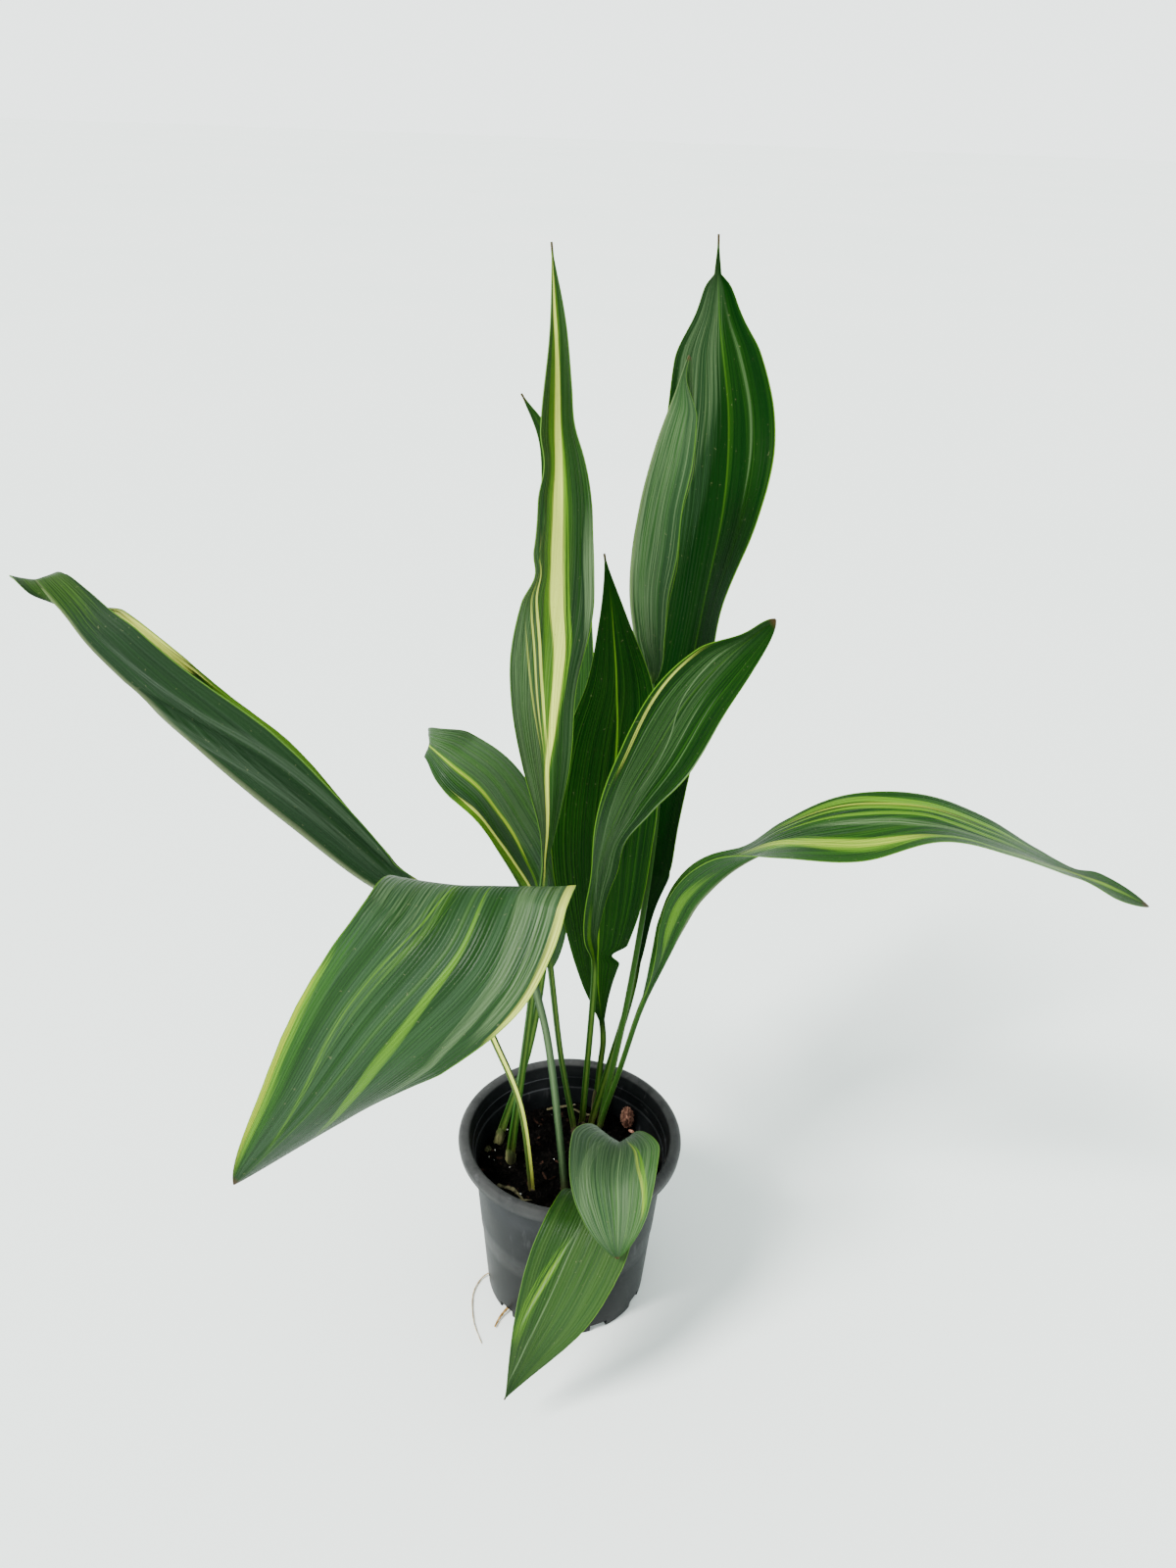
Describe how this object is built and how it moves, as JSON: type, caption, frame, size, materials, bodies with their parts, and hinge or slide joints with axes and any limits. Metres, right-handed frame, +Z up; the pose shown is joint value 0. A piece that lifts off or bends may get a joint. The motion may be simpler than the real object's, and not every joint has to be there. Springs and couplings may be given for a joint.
{
  "type": "potted cast iron plant",
  "caption": "Variegated cast iron plant with long-stalked lance-shaped leaves, some upright and some arching, growing in potting mix in a round tapered nursery pot.",
  "frame": {"origin": "middle of the pot's flat underside, on the surface that it stands on", "axes": "+Z up through the pot's axis, +X to the right and +Y away as the plant is seen from its front"},
  "size_m": [0.7565, 0.3608, 0.7741],
  "materials": {
    "pot": "moulded, slightly dusty and scuffed",
    "soil": "loose damp potting mix of composted bark with white specks",
    "bark": "rough bark",
    "root": "dry fibrous root",
    "leaf": "leathery green leaf with cream and yellow stripes, satin sheen"
  },
  "bodies": {
    "root": {"pot": "pot", "soil": "soil", "bark_chunk": "bark", "root_thin": "root", "root_stub": "root", "leaf_far_left": "leaf", "leaf_front_left": "leaf", "leaf_tall_left": "leaf", "leaf_behind_left": "leaf", "leaf_dark_middle": "leaf", "leaf_narrow_folded": "leaf", "leaf_tall_right": "leaf", "leaf_small_left": "leaf", "leaf_arching_right": "leaf", "leaf_middle_right": "leaf", "leaf_front_small": "leaf", "leaf_front_hanging": "leaf"}
  },
  "joints": []
}
